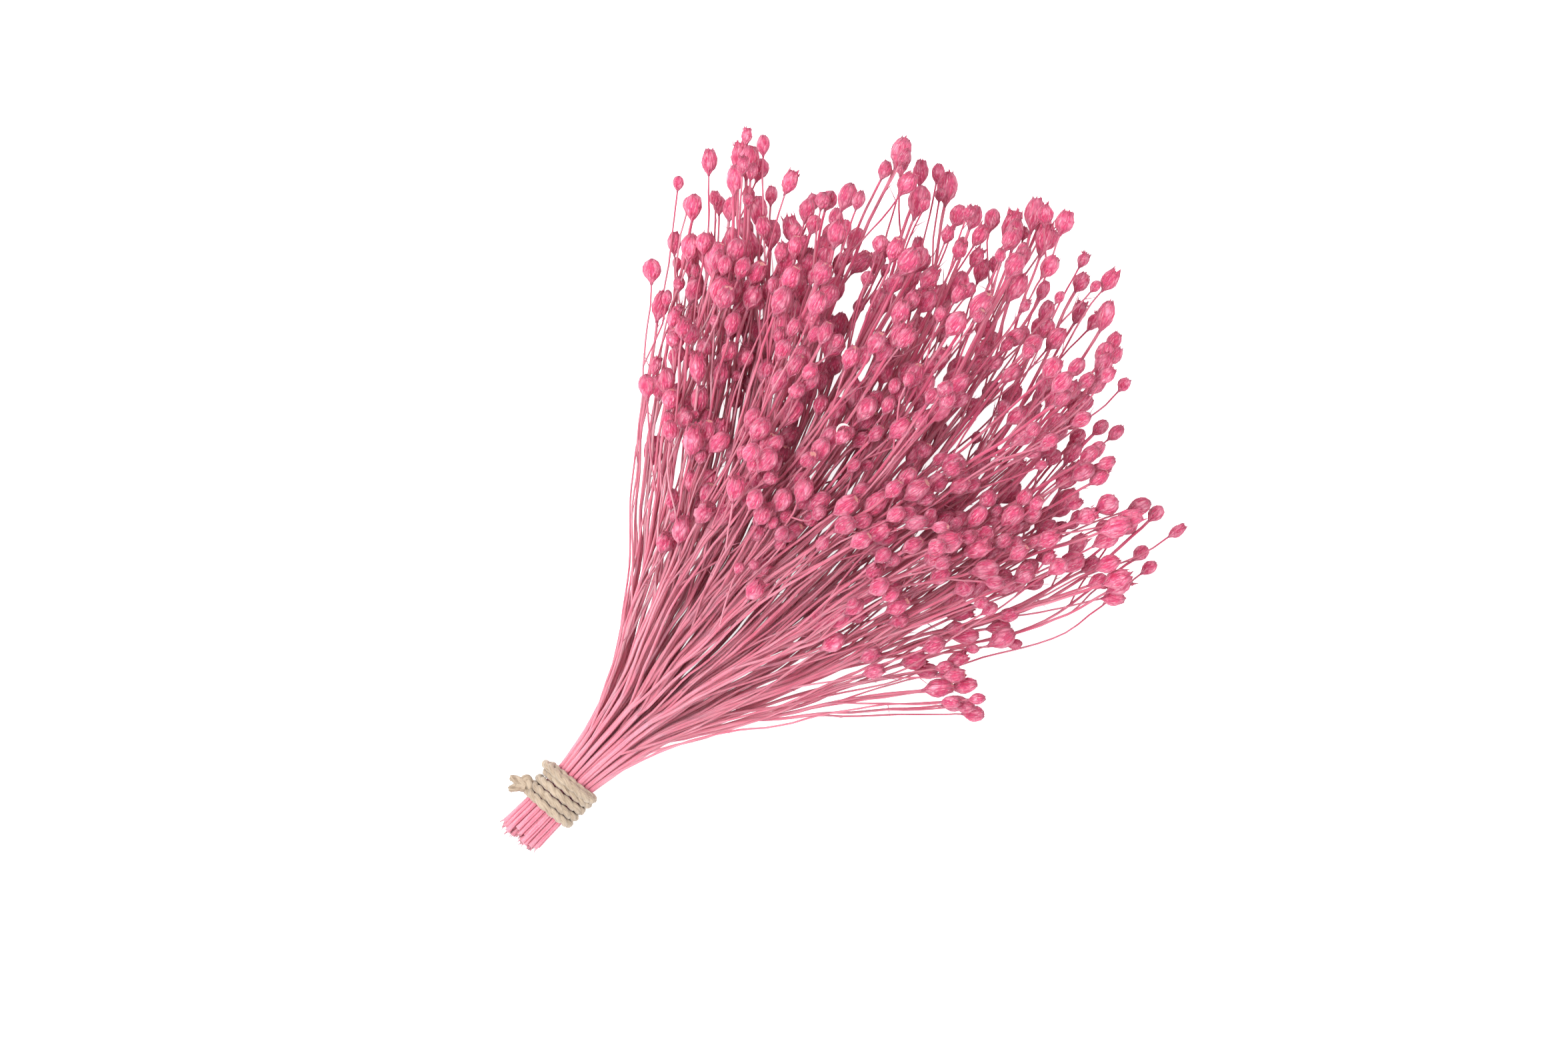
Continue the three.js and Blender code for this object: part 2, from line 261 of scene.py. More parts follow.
def grow(i):
    """One sprig: a stem from its cut end to the top head, and the side stalks that fork from it."""
    a, b = turned(spots[i], REACH)
    dip = NOTCH_DEEP * math.exp(-(((a - NOTCH_AT) / NOTCH_WIDE) ** 2))
    top = TOP_SHORTER * max(0, b) ** 1.5
    edge = EDGE_SHORTER * a * a + SLANT * a
    length = REACH * (1 - edge - dip - top) * lerp(0.76, 1, chance(i, 1) ** 0.5)
    if i == stray:
        length *= STRAY_LONG
    cut = -tie_half - STUB - UNEVEN * (chance(i, 2) - 0.5) * 2
    size = lerp(VARY_LEAST, VARY_MOST, chance(i, 3))
    joints = math.floor((length - NECK) / STEP + 0.5)
    lie = [cut, -tie_half, tie_half]
    lie += [lerp(NECK * 1.1, length - HEAD_L * size, j / joints) for j in range(joints + 1)] + [length]
    turn = 2 * math.pi * chance(i, 4)

    def at(s):
        p = place(spots[i], s)
        sway = SWAY * smoothstep(s, NECK, NECK * 4)
        p[1] += sway * math.sin(s / 19 + turn)
        p[2] += sway * 0.6 * math.sin(s / 23 + turn * 2)
        if i == stray:
            p[1] -= STRAY_OUT * smoothstep(s, NECK, REACH / 2)
        return p

    radii = [lerp(STEM_D, TIP_D, min(1, max(0, s / length))) / 2 for s in lie]
    stem = stalk(i, [at(s) for s in lie], radii, size)
    grown = [stem]
    count = STALKS_LEAST if i % 2 else STALKS_MOST
    for k in range(count):
        first = 3 + math.floor((joints - 0.6) * lerp(0.1, 0.9, (k + chance(i, 10 + k)) / count))
        start = lie[first]
        size = lerp(VARY_LEAST, VARY_MOST, chance(i, 20 + k))
        end = lerp(start + STEP * 1.2, length, lerp(0.3, 0.98, chance(i, 30 + k)))
        way = turn + k * GOLDEN + chance(i, 40 + k)
        out = lerp(SPREAD_LEAST, SPREAD_MOST, chance(i, 50 + k))
        parts = max(2, math.floor((end - start) / STEP + 0.5))
        points = []
        for s in [lerp(start, end - HEAD_L * size, j / parts) for j in range(parts + 1)] + [end]:
            away = out * (1 - math.exp(-(s - start) / (STEP * 1.3)))
            outwards = np.array([0, math.cos(way), 0.8 * math.sin(way) + LOOK_UP * max(0, b)])
            points.append(at(s) + away * outwards)
        grown.append(stalk(i, points, [STALK_D / 2] * len(points), size, stem, first))
    return grown


def settle(stalks, rounds, is_held):
    """The stalks push each other aside until they lie clear, and their heads rest on the table."""
    counts = [len(c["points"]) for c in stalks]
    offset = np.concatenate([[0], np.cumsum(counts)])
    points = np.concatenate([c["points"] for c in stalks])
    first = points.copy()
    radii = np.concatenate([c["radii"] for c in stalks])
    place_in = np.concatenate([np.arange(n) for n in counts])
    held = np.concatenate([is_held(c, np.arange(n)) for c, n in zip(stalks, counts)])
    near_tip = np.concatenate([np.arange(n) + 2 >= n for n in counts])
    sizes = np.concatenate([[c["size"]] * n for c, n in zip(stalks, counts)])
    floor_z = np.where(near_tip, HEAD_D / 2 * sizes * 1.2, radii)
    at = {id(c): o for c, o in zip(stalks, offset)}
    forks = [(at[id(c)], at[id(c["parent"])] + c["root"]) for c in stalks
             if c["parent"] is not None and isinstance(c["root"], int) and id(c["parent"]) in at]
    tops = np.zeros(len(points), bool)
    tops[offset[1:] - 1] = True
    inner = ~held & ~tops & (place_in > 0)
    seg = np.flatnonzero(~tops)
    seg_stalk = np.repeat(np.arange(len(stalks)), counts)[seg]
    seg_sprig = np.array([c["sprig"] for c in stalks])[seg_stalk]
    is_head = tops[seg + 1]
    thick = np.where(is_head, HEAD_D / 2 * sizes[seg], radii[seg])
    low, high = np.where(is_head, 0.42, 0.0), np.where(is_head, 0.6, 1.0)
    pairs = None
    for turn in range(rounds):
        if turn % 10 == 0:
            mid = (points[seg] + points[seg + 1]) / 2
            half = np.linalg.norm(points[seg + 1] - points[seg], axis=1) / 2
            size = half + thick + 1.5
            near = []
            for n in range(len(seg)):
                gap = ((mid[n + 1 :] - mid[n]) ** 2).sum(1)
                near.append(n + 1 + np.flatnonzero(gap < (size[n + 1 :] + size[n]) ** 2))
            one, two = np.repeat(np.arange(len(seg)), [len(n) for n in near]), np.concatenate(near)
            kin = seg_sprig[one] == seg_sprig[two]
            use = (seg_stalk[one] != seg_stalk[two]) & (~kin | (is_head[one] & is_head[two]))
            use &= ~(held[seg[one]] & held[seg[one] + 1] & held[seg[two]] & held[seg[two] + 1])
            pairs = one[use], two[use]
        one, two = pairs
        u = points[seg[one] + 1] - points[seg[one]]
        v = points[seg[two] + 1] - points[seg[two]]
        w = points[seg[one]] - points[seg[two]]
        uu, uv, vv = (u * u).sum(1), (u * v).sum(1), (v * v).sum(1)
        uw, vw = (u * w).sum(1), (v * w).sum(1)
        skew = uu * vv - uv * uv
        s = np.where(skew > 1e-9, (uv * vw - vv * uw) / np.where(skew > 1e-9, skew, 1), 0.5)
        s = np.clip(s, low[one], high[one])
        t = np.clip((uv * s + vw) / vv, low[two], high[two])
        s = np.clip((uv * t - uw) / uu, low[one], high[one])
        apart = w + u * s[:, None] - v * t[:, None]
        far = np.linalg.norm(apart, axis=1)
        short = thick[one] + thick[two] + REST_GAP - far
        hit = (short > 0) & (far > 1e-9)
        push = apart[hit] * (short[hit] / 2 / far[hit])[:, None]
        move, weight = np.zeros_like(points), np.zeros(len(points))
        for which, share, sign in ((one, s, 1), (two, t, -1)):
            start = seg[which[hit]]
            for k, part in ((start, 1 - share[hit]), (start + 1, share[hit])):
                np.add.at(move, k, sign * push * part[:, None])
                np.add.at(weight, k, part * part)
        give = np.where(weight > 0, 1 / np.maximum(weight, 0.35), 0)
        shift = points - first + move * give[:, None]
        moved = shift.copy()
        if turn <= SETTLE_ROUNDS / 2:
            k = np.flatnonzero(inner)
            moved[k] = shift[k] + ((shift[k - 1] + shift[k + 1]) / 2 - shift[k]) * 0.15
        points = np.where(held[:, None], points, first + moved)
        points[:, 2] = np.where(held & (place_in == 0), points[:, 2], np.maximum(points[:, 2], floor_z))
        for child, parent in forks:
            points[child] = points[parent]
            points[child, 2] = max(points[child, 2], floor_z[child])
    for c, o, n in zip(stalks, offset, counts):
        c["points"] = points[o : o + n]


main_stalks = [c for i in range(SPRIGS) for c in grow(i)]
settle(main_stalks, SETTLE_ROUNDS, lambda c, k: k < (HELD_POINTS if c["parent"] is None else 1))


def curved(p0, p1, p2, p3, f):
    """The point a share f of the way from p1 to p2, on a smooth line through all four."""
    return 0.5 * (2 * p1 + (p2 - p0) * f + (2 * p0 - 5 * p1 + 4 * p2 - p3) * f * f
                  + (3 * p1 - p0 - 3 * p2 + p3) * f * f * f)


def smooth_at(c, t):
    """The point t stretches along a stalk, on a smooth line through its points, or straight on past them."""
    p = c["points"]
    last = len(p) - 1
    if t >= last:
        return p[last] + (p[last] - p[last - 1]) / np.linalg.norm(p[last] - p[last - 1]) * STEP * (t - last)
    j = int(t)
    return curved(p[max(j - 1, 0)], p[j], p[j + 1], p[min(j + 2, last)], t - j)


# Long thin branches leave the stem low down and keep beside it, with a head each at all heights.
BRANCHES = 3
BRANCH_D = 0.5
BRANCH_OUT_LEAST, BRANCH_OUT_MOST = 3, 13
BRANCH_SWAY = 2.4
BRANCH_VARY_LEAST, BRANCH_VARY_MOST = 0.6, 1.05  # of their heads
BRANCH_FORK_LEAST, BRANCH_FORK_MOST = 2.3, 4.5  # where they leave the stem, in its stretches
BRANCH_ROUNDS = 50

branches = []
for i in range(SPRIGS):
    stem = next(c for c in main_stalks if c["sprig"] == i)
    last = len(stem["points"]) - 1
    for k in range(BRANCHES):
        size = lerp(BRANCH_VARY_LEAST, BRANCH_VARY_MOST, chance(i, 120 + k))
        start = lerp(BRANCH_FORK_LEAST, BRANCH_FORK_MOST, chance(i, 130 + k))
        end = lerp(start + 1.2, last - 0.3, lerp(0.3, 1, chance(i, 140 + k)))
        way = 2 * math.pi * (chance(i, 150) + k / BRANCHES)
        out = lerp(BRANCH_OUT_LEAST, BRANCH_OUT_MOST, chance(i, 160 + k))
        parts = max(3, int(end - start) + 2)
        points = []
        for j in range(parts):
            part = j / (parts - 1)
            sway = BRANCH_SWAY * math.sin(part * 7 + 6 * chance(i, 170 + k)) * part
            away = out * math.sin(part * math.pi / 2) + sway
            step_off = away * np.array([0, math.cos(way), 0.8 * math.sin(way)])
            points.append(smooth_at(stem, start + (end - start) * part) + step_off)
        ahead = points[-1] - points[-2]
        points.append(points[-1] + ahead / np.linalg.norm(ahead) * HEAD_L * size)
        radii = np.linspace(BRANCH_D, BRANCH_D * 0.8, parts + 1) / 2
        branches.append(stalk(i, points, radii, size, stem, start))


def held_but(moving):
    """Holds every stalk but the moving ones, and those at the fork they spring from."""
    free = {id(c) for c in moving}
    return lambda c, k: k < 1 if id(c) in free else np.ones_like(k, bool)


settle(main_stalks + branches, BRANCH_ROUNDS, held_but(branches))

# The finest side stalks fork off the last stretches of the others, and carry the smaller heads.
FINE_LEAST, FINE_MOST = 4, 7
FINE_D = 0.42
FINE_OUT_LEAST, FINE_OUT_MOST = 2.5, 8
FINE_VARY_LEAST, FINE_VARY_MOST = 0.52, 0.98  # of their heads
FINE_ROUNDS = 40

fine_stalks = []
for i in range(SPRIGS):
    bearers = [c for c in main_stalks + branches if c["sprig"] == i]
    for k in range(FINE_LEAST + int(chance(i, 60) * (FINE_MOST - FINE_LEAST + 1))):
        bearer = bearers[k % len(bearers)]
        size = lerp(FINE_VARY_LEAST, FINE_VARY_MOST, chance(i, 70 + k))
        start = len(bearer["points"]) - 2 - lerp(0.35, 1.3, chance(i, 80 + k))
        run = lerp(0.7, 1.12, chance(i, 90 + k)) * (len(bearer["points"]) - 1.9 - start)
        way = 2 * math.pi * chance(i, 100 + k)
        out = lerp(FINE_OUT_LEAST, FINE_OUT_MOST, chance(i, 110 + k))
        points = []
        for part in (0, 0.35, 0.7, 1):
            away = out * math.sin(part * math.pi / 2)
            step_off = away * np.array([0, math.cos(way), 0.8 * math.sin(way)])
            points.append(smooth_at(bearer, start + run * part) + step_off)
        ahead = points[-1] - points[-2]
        points.append(points[-1] + ahead / np.linalg.norm(ahead) * HEAD_L * size)
        fine_stalks.append(stalk(i, points, [FINE_D / 2] * 5, size, bearer, float(start)))
all_stalks = main_stalks + branches + fine_stalks
settle(all_stalks, FINE_ROUNDS, held_but(fine_stalks))

# From the bunch's own frame to the model's: the twine's middle is known in both.
shift = np.array([(twine_low.x + twine_high.x) / 2 / MM, twine_low.y / MM + wrap_r + TWINE_D / 2, 0])

SLOW_BENDS, QUICK_BENDS = (0.7, 13), (0.22, 5)  # how far a stem bends, and over what length
LOWEST_STEM = STEM_D * 0.6
noise.seed_set(3)  # without it the bends differ from one run to the next


def wander(p):
    """Small bends that follow the place, so stems that touch bend together and a fork stays joined."""
    free = smoothstep(p[0], tie_half, tie_half + 25)
    slow, quick = (far * np.array(noise.noise_vector(Vector(p) / over))
                   for far, over in (SLOW_BENDS, QUICK_BENDS))
    drift = (slow + quick) * free
    bent = p + shift + drift * (1, 1, smoothstep(p[2], 2, 7))
    bent[2] = max(bent[2], LOWEST_STEM)
    return bent


# ---------------------------------------------------------------------------------------------
# Stems: dried, woody and wiry, with fine lengthwise ridges, and dyed in a bath. The dye takes paler
# on the bark near the cut ends and deeper on the young wood, and the cut itself shows pale pith.
# ---------------------------------------------------------------------------------------------
STEM_SIDES = 6
STEM_SAMPLE = 3.2  # between the rings of a stem

# A stem carries its skin (a place on a circle of radius 1 round it, and millimetres along it), its shade
# (from 0 at the cut end to 1 at the heads) and its tone, which is its own depth of dye.
# Inputs 1 to 4 of a Map Range node are what it maps from and to, and 6 and 7 of a Mix node its two colours.
stem_bark, tree, shader = new_material("dyed_stem_bark")
skin = add_node(tree, "ShaderNodeAttribute", attribute_name="skin").outputs["Vector"]
along_stem = add_node(tree, "ShaderNodeAttribute", attribute_name="shade").outputs["Fac"]
tone = add_node(tree, "ShaderNodeAttribute", attribute_name="tone").outputs["Fac"]
# Ridges run the length of the stem, about 0.14 mm wide and 5 mm long.
stretched = add_node(tree, "ShaderNodeMapping", {0: skin, "Scale": (2.2, 2.2, 0.12)})
ridges = add_node(tree, "ShaderNodeTexNoise", {"Vector": stretched.outputs[0], "Scale": 1.6, "Detail": 4.0})
blotches = add_node(tree, "ShaderNodeMapping", {0: skin, "Scale": (0.3, 0.3, 0.09)})
dye = add_node(tree, "ShaderNodeTexNoise", {"Vector": blotches.outputs[0], "Scale": 1.0, "Detail": 2.0})
age = add_node(tree, "ShaderNodeValToRGB", {0: along_stem})
age.color_ramp.elements[0].color = linear("#F096A8")
age.color_ramp.elements[1].color = linear("#D8547C")
age.color_ramp.elements[0].position = 0.05
age.color_ramp.elements[1].position = 0.75
furrow = add_node(tree, "ShaderNodeMapRange", {0: ridges.outputs[0], 1: 0.38, 2: 0.64, 3: 0.0, 4: 0.7})
deep = add_node(tree, "ShaderNodeMix", {"Factor": furrow.outputs[0], 6: age.outputs[0], 7: linear("#BC3059")},
                data_type="RGBA")
light = add_node(tree, "ShaderNodeMapRange", {0: dye.outputs[0], 1: 0.4, 2: 0.7, 3: 0.0, 4: 0.5})
pale = add_node(tree, "ShaderNodeMix", {"Factor": light.outputs[0], 6: deep.outputs[2], 7: linear("#EDB0BE")},
                data_type="RGBA")
lift = add_node(tree, "ShaderNodeMapRange", {0: tone, 1: 0.0, 2: 1.0, 3: 0.84, 4: 1.1})
fade = add_node(tree, "ShaderNodeMapRange", {0: tone, 1: 0.7, 2: 1.0, 3: 1.0, 4: 0.7})
toned = add_node(tree, "ShaderNodeHueSaturation",
                 {"Color": pale.outputs[2], "Value": lift.outputs[0], "Saturation": fade.outputs[0]})
# The cut ends show pale pith; their shade is below zero.
pith = add_node(tree, "ShaderNodeMapRange", {0: along_stem, 1: 0.0, 2: -1.0, 3: 0.0, 4: 1.0})
cut = add_node(tree, "ShaderNodeMix", {"Factor": pith.outputs[0], 6: toned.outputs[0], 7: linear("#FADDDD")},
               data_type="RGBA")
tree.links.new(cut.outputs[2], shader.inputs["Base Color"])
rough = add_node(tree, "ShaderNodeMapRange", {0: ridges.outputs[0], 1: 0.3, 2: 0.7, 3: 0.5, 4: 0.75})
tree.links.new(rough.outputs[0], shader.inputs["Roughness"])
relief = add_node(tree, "ShaderNodeBump", {"Height": ridges.outputs[0], "Strength": 1.0, "Distance": 0.0003})
tree.links.new(relief.outputs[0], shader.inputs["Normal"])
shader.inputs["Sheen Weight"].default_value = 0.15
# Light passes through the thin wood and reddens.
shader.inputs["Subsurface Weight"].default_value = 0.3
shader.inputs["Subsurface Radius"].default_value = (1.0, 0.3, 0.35)
shader.inputs["Subsurface Scale"].default_value = 0.0008


# ---------------------------------------------------------------------------------------------
# Heads: each grows as an urn of small papery scales that overlap like roof tiles, felted with pale
# hairs and frayed to a darker crown round its mouth. A few forms are made, for many stalks.
# ---------------------------------------------------------------------------------------------
HEAD_SIDES = 9
URN = (  # its radius, and how far along it is, as shares of the head's width and length
    (0.07, -0.1), (0.11, 0.0), (0.24, 0.1), (0.41, 0.25), (0.495, 0.43), (0.48, 0.62), (0.37, 0.79),
)
URN_SHADES = (0, 0, 0, 0, 0, 0.08, 0.3, 0.6)  # of its rows and its lip: 1 is as dark as the crown
CROWN_TIPS = 7

felted_scales, tree, shader = new_material("dyed_felted_scales")
skin = add_node(tree, "ShaderNodeAttribute", attribute_name="skin").outputs["Vector"]
crown_mouth_shade_florets = add_node(tree, "ShaderNodeAttribute", attribute_name="shade").outputs["Fac"]
tone = add_node(tree, "ShaderNodeAttribute", attribute_name="tone").outputs["Fac"]
offset = add_node(tree, "ShaderNodeCombineXYZ", {"X": tone, "Y": tone, "Z": tone})
moved = add_node(tree, "ShaderNodeVectorMath", {0: offset.outputs[0], 1: (37.0, 17.0, 53.0)},
                 operation="MULTIPLY")
own = add_node(tree, "ShaderNodeVectorMath", {0: skin, 1: moved.outputs[0]}, operation="ADD")
# Felt hairs lie along the scales. They are drawn 0.4 mm wide, coarser than the real ones, so they show.
lengthwise = add_node(tree, "ShaderNodeMapping", {0: own.outputs[0], "Scale": (7.0, 7.0, 2.2)})
hairs = add_node(tree, "ShaderNodeTexNoise", {"Vector": lengthwise.outputs[0], "Scale": 1.5, "Detail": 5.0})
patches = add_node(tree, "ShaderNodeTexNoise", {"Vector": own.outputs[0], "Scale": 2.4, "Detail": 3.0})
body = add_node(tree, "ShaderNodeValToRGB", {0: hairs.outputs[0]})
body.color_ramp.elements[0].color = linear("#BA2C55")
body.color_ramp.elements[0].position = 0.36
body.color_ramp.elements[1].color = linear("#DC5580")
body.color_ramp.elements[1].position = 0.64
bloom = add_node(tree, "ShaderNodeMapRange", {0: patches.outputs[0], 1: 0.45, 2: 0.72, 3: 0.0, 4: 0.75})
bloomed = add_node(tree, "ShaderNodeMix",
                   {"Factor": bloom.outputs[0], 6: body.outputs[0], 7: linear("#ECA0B6")}, data_type="RGBA")
# Loose pale hairs, finer than the felt, lie over it.
fine_hairs = add_node(tree, "ShaderNodeMapping", {0: own.outputs[0], "Scale": (16.0, 16.0, 4.0)})
wisps = add_node(tree, "ShaderNodeTexNoise", {"Vector": fine_hairs.outputs[0], "Scale": 1.0, "Detail": 3.0})
hoary = add_node(tree, "ShaderNodeMapRange", {0: wisps.outputs[0], 1: 0.55, 2: 0.68, 3: 0.0, 4: 0.6})
haired = add_node(tree, "ShaderNodeMix",
                  {"Factor": hoary.outputs[0], 6: bloomed.outputs[2], 7: linear("#F4C6D2")}, data_type="RGBA")
# Between the overlapping scales, each about 1.3 mm wide and 2.3 mm long, a thin dark line shows: painted
# shade in the crevices, where the bump sinks.
on_scales = add_node(tree, "ShaderNodeMapping", {0: own.outputs[0], "Scale": (3.4, 3.4, 2.6)})
gaps = add_node(tree, "ShaderNodeTexVoronoi",
                {"Vector": on_scales.outputs[0], "Scale": 1.0, "Randomness": 0.9}, feature="DISTANCE_TO_EDGE")
scale_gap_shade = add_node(tree, "ShaderNodeMapRange", {0: gaps.outputs[0], 1: 0.0, 2: 0.12, 3: 0.55, 4: 0.0})
felt_with_gap_shade = add_node(tree, "ShaderNodeMix",
                {"Factor": scale_gap_shade.outputs[0], 6: haired.outputs[2], 7: linear("#A83660")},
                data_type="RGBA")
# The scales darken towards the mouth, and the crown's tips are deep crimson. Inside a mouth whose shade is
# above zero, the darkening is painted shade in the mouth.
dark = add_node(tree, "ShaderNodeMapRange", {0: crown_mouth_shade_florets, 1: 0.1, 2: 0.9, 3: 0.0, 4: 0.9})
crowned_and_mouth_shaded = add_node(tree, "ShaderNodeMix",
                   {"Factor": dark.outputs[0], 6: felt_with_gap_shade.outputs[2], 7: linear("#A02E4C")}, data_type="RGBA")
# Inside an open mouth the pale dry florets show; their shade is below zero.
florets = add_node(tree, "ShaderNodeMapRange", {0: crown_mouth_shade_florets, 1: 0.0, 2: -0.6, 3: 0.0, 4: 0.85})
filled = add_node(tree, "ShaderNodeMix",
                  {"Factor": florets.outputs[0], 6: crowned_and_mouth_shaded.outputs[2], 7: linear("#F0A79A")},
                  data_type="RGBA")
lift = add_node(tree, "ShaderNodeMapRange", {0: tone, 1: 0.0, 2: 1.0, 3: 0.74, 4: 1.16})
toned = add_node(tree, "ShaderNodeHueSaturation", {"Color": filled.outputs[2], "Value": lift.outputs[0]})
tree.links.new(toned.outputs[0], shader.inputs["Base Color"])
swelling = add_node(tree, "ShaderNodeMapRange", {0: gaps.outputs[0], 1: 0.0, 2: 0.3, 3: 0.0, 4: 1.0})
height = add_node(tree, "ShaderNodeMath", {0: swelling.outputs[0], 1: hairs.outputs[0]}, operation="ADD")
relief = add_node(tree, "ShaderNodeBump", {"Height": height.outputs[0], "Strength": 0.7, "Distance": 0.0004})
tree.links.new(relief.outputs[0], shader.inputs["Normal"])
shader.inputs["Roughness"].default_value = 0.75
shader.inputs["Subsurface Weight"].default_value = 0.25
shader.inputs["Subsurface Radius"].default_value = (1.0, 0.3, 0.4)
shader.inputs["Subsurface Scale"].default_value = 0.0008
shader.inputs["Sheen Weight"].default_value = 0.35
shader.inputs["Sheen Roughness"].default_value = 0.4
shader.inputs["Sheen Tint"].default_value = linear("#F7B8C8")


def scaly_head(name, seed, mouth, florets_and_mouth_shade, fray, splay, ruffle):
    """A head of unit width, and unit length along Z, from the radius of its mouth, what lies inside it (above
    zero a painted shade in the mouth, below zero the pale florets), and how frayed, splayed and ruffled its
    scales are."""
    draw = np.random.default_rng(seed)
    verts, faces, skins, shades = [], [], [], []

    def add(r, angle, v, shade):
        verts.append((r * math.cos(angle), r * math.sin(angle), v))
        skins.append((math.cos(angle) / 2, math.sin(angle) / 2, v))
        shades.append(shade)
        return len(verts) - 1

    lip = 0.93 + draw.uniform(-0.03, 0.03)
    rows = URN + ((mouth + 0.07, lip), (mouth * 0.8, lip - 0.03))
    lobes = draw.uniform(0, 6.28, 2)
    for k, (r, v) in enumerate(rows):
        for n in range(HEAD_SIDES):
            angle = 2 * math.pi * (n + 0.25 * (k % 2)) / HEAD_SIDES
            lobed = 1 + 0.06 * math.sin(2 * angle + lobes[0]) + 0.05 * math.sin(3 * angle + 4 * v + lobes[1])
            wide = r * (lobed + ruffle * draw.uniform(-1, 1))
            add(wide, angle, v + 0.6 * ruffle * draw.uniform(-1, 1), (*URN_SHADES, florets_and_mouth_shade)[k])
    for k in range(len(rows) - 1):
        for n in range(HEAD_SIDES):
            a, b = k * HEAD_SIDES + n, k * HEAD_SIDES + (n + 1) % HEAD_SIDES
            faces.append((a, b, b + HEAD_SIDES, a + HEAD_SIDES))
    top = (len(rows) - 1) * HEAD_SIDES
    faces.append(tuple(range(HEAD_SIDES))[::-1])
    faces.append(tuple(range(top, top + HEAD_SIDES)))
    smooth = len(faces)
    # The crown: thin pointed scales round the mouth, each a closed wedge.
    for n in range(CROWN_TIPS):
        angle = 2 * math.pi * (n + draw.uniform(-0.3, 0.3)) / CROWN_TIPS
        half = draw.uniform(0.35, 0.5)
        bend = angle + draw.uniform(-0.3, 0.3)
        left = add(mouth + 0.13, angle - half, 0.83, 0.35)
        right = add(mouth + 0.13, angle + half, 0.83, 0.35)
        keel = add(mouth + 0.18, angle, 0.8, 0.3)
        tip = add(mouth + splay * draw.uniform(-0.3, 1.2), bend, lip + fray * draw.uniform(0.1, 1), 1.0)
        faces.extend([(left, keel, tip), (keel, right, tip), (right, left, tip), (left, right, keel)])
    mesh = bpy.data.meshes.new(name)
    mesh.from_pydata(verts, [], faces)
    skin = mesh.attributes.new("skin", "FLOAT_VECTOR", "POINT")
    skin.data.foreach_set("vector", np.array(skins, float).ravel())
    mesh.attributes.new("shade", "FLOAT", "POINT").data.foreach_set("value", np.array(shades, float))
    mesh.polygons.foreach_set("use_smooth", np.arange(len(mesh.polygons)) < smooth)
    return bpy.data.objects.new(name, mesh)


HEAD_FORMS = (  # mouth, what lies inside it (above zero painted shade in the mouth, below zero the pale florets), fray, splay, ruffle
    ("ripe", 0.12, 0.5, 0.08, 0.06, 0.025),
    ("ripe_rough", 0.15, 0.3, 0.14, 0.1, 0.05),
    ("closed", 0.08, 0.6, 0.06, 0.02, 0.03),
    ("open", 0.2, -0.7, 0.12, 0.12, 0.035),
    ("frayed", 0.22, 0.9, 0.24, 0.24, 0.06),
    ("spent", 0.26, 1.0, 0.18, 0.3, 0.075),
    ("bud", 0.05, 0.3, 0.04, 0.02, 0.02),
)
FORM_SHARES = (0.26, 0.2, 0.14, 0.16, 0.14, 0.1)  # of all but the buds
BUD, LARGEST_BUD = 6, 0.6  # a head below this size is a bud
heads = bpy.data.collections.new("heads")
for k, (name, *form) in enumerate(HEAD_FORMS):
    heads.objects.link(scaly_head(f"{k}_{name}", k + 1, *form))


# ---------------------------------------------------------------------------------------------
# Sprigs: each is grown as one piece, a stem with its stalks and a head on each stalk, cut at the
# foot by the florist. The stalks are swept along their lines, and a few bare twigs stand off them.
# ---------------------------------------------------------------------------------------------
sprig_tree = bpy.data.node_groups.new("forked_sprig", "GeometryNodeTree")
for name, kind in (("Lines", "NodeSocketGeometry"), ("Sides", "NodeSocketInt"),
                   ("Heads", "NodeSocketCollection"), ("Bark", "NodeSocketMaterial"),
                   ("Scales", "NodeSocketMaterial")):
    sprig_tree.interface.new_socket(name, in_out="INPUT", socket_type=kind)
sprig_tree.interface.new_socket("Sprig", in_out="OUTPUT", socket_type="NodeSocketGeometry")


def named(tree, name, kind="FLOAT"):
    """The attribute of that name, for a geometry node's input."""
    node = add_node(tree, "GeometryNodeInputNamedAttribute", {"Name": name}, data_type=kind)
    return node.outputs["Attribute"]


def swept(tree, lines, sides, material):
    """Nodes that sweep a round section along lines, with the radius, run and girth that they carry."""
    curve = add_node(tree, "GeometryNodeMeshToCurve", {"Mesh": lines})
    ring = add_node(tree, "GeometryNodeCurvePrimitiveCircle", {"Resolution": sides, "Radius": 1.0})
    girth = add_node(tree, "GeometryNodeStoreNamedAttribute",
                     {"Geometry": ring.outputs[0], "Name": "girth",
                      "Value": add_node(tree, "GeometryNodeInputPosition").outputs[0]},
                     data_type="FLOAT_VECTOR", domain="POINT")
    tube = add_node(tree, "GeometryNodeCurveToMesh",
                    {"Curve": curve.outputs[0], "Profile Curve": girth.outputs[0],
                     "Scale": named(tree, "radius"), "Fill Caps": True})
    apart = add_node(tree, "ShaderNodeSeparateXYZ", {0: named(tree, "girth", "FLOAT_VECTOR")})
    skin = add_node(tree, "ShaderNodeCombineXYZ",
                    {"X": apart.outputs[0], "Y": apart.outputs[1], "Z": named(tree, "run")})
    skinned = add_node(tree, "GeometryNodeStoreNamedAttribute",
                       {"Geometry": tube.outputs[0], "Name": "skin", "Value": skin.outputs[0]},
                       data_type="FLOAT_VECTOR", domain="POINT")
    smooth = add_node(tree, "GeometryNodeSetShadeSmooth", {"Geometry": skinned.outputs[0]})
    return add_node(tree, "GeometryNodeSetMaterial", {"Geometry": smooth.outputs[0], "Material": material})


